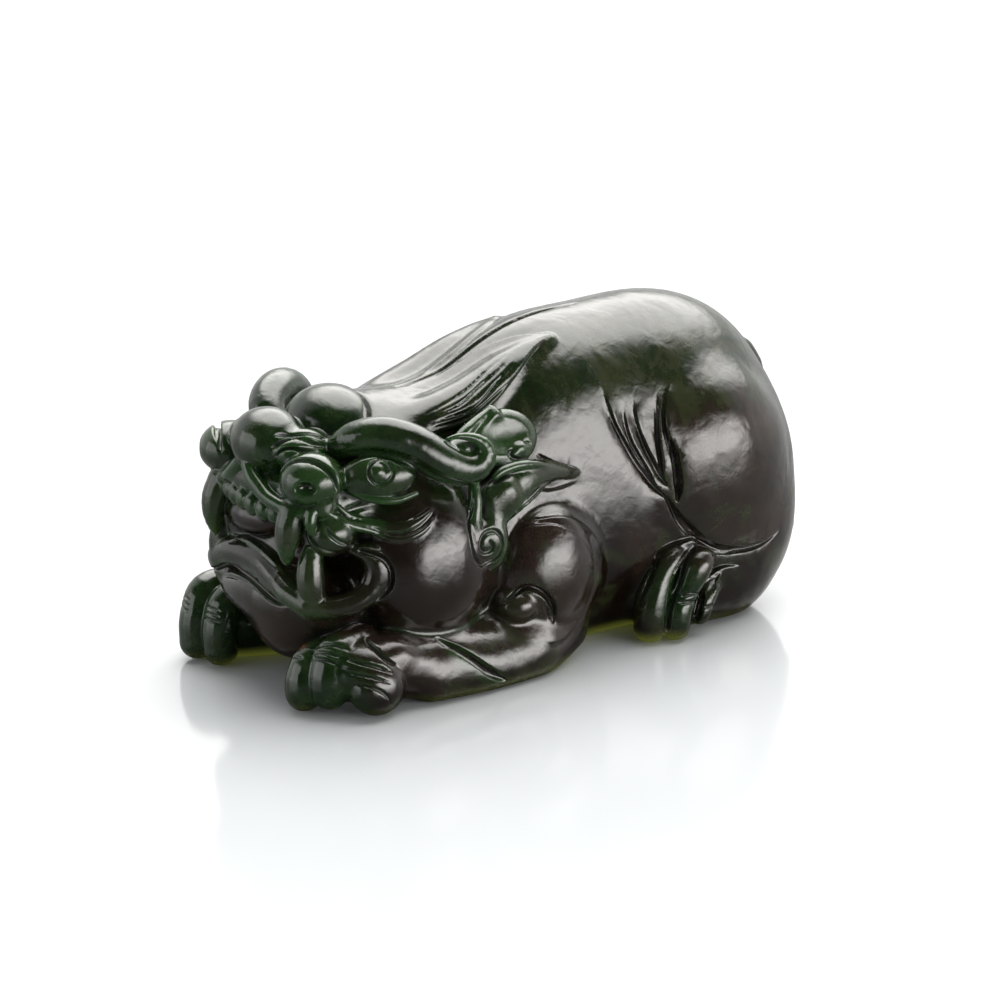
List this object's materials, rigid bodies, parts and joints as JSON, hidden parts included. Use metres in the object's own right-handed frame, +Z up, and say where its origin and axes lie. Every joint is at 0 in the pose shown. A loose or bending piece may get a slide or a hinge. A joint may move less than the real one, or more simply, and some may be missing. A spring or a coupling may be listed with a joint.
{
  "type": "jade figurine",
  "caption": "Recumbent mythical beast with curled brows and open mouth, carved from one block of polished dark green jade; it rests on its ground underside.",
  "frame": {"origin": "on the resting plane, on the carving's centre line, near the middle of its length", "axes": "+Z up; the beast looks along -Y; +X is its left side"},
  "size_m": [0.045, 0.0989, 0.0485],
  "materials": {
    "jade": "polished nephrite, dark green with brown-black veins"
  },
  "bodies": {
    "root": {"jade_carving": "jade"}
  },
  "joints": []
}
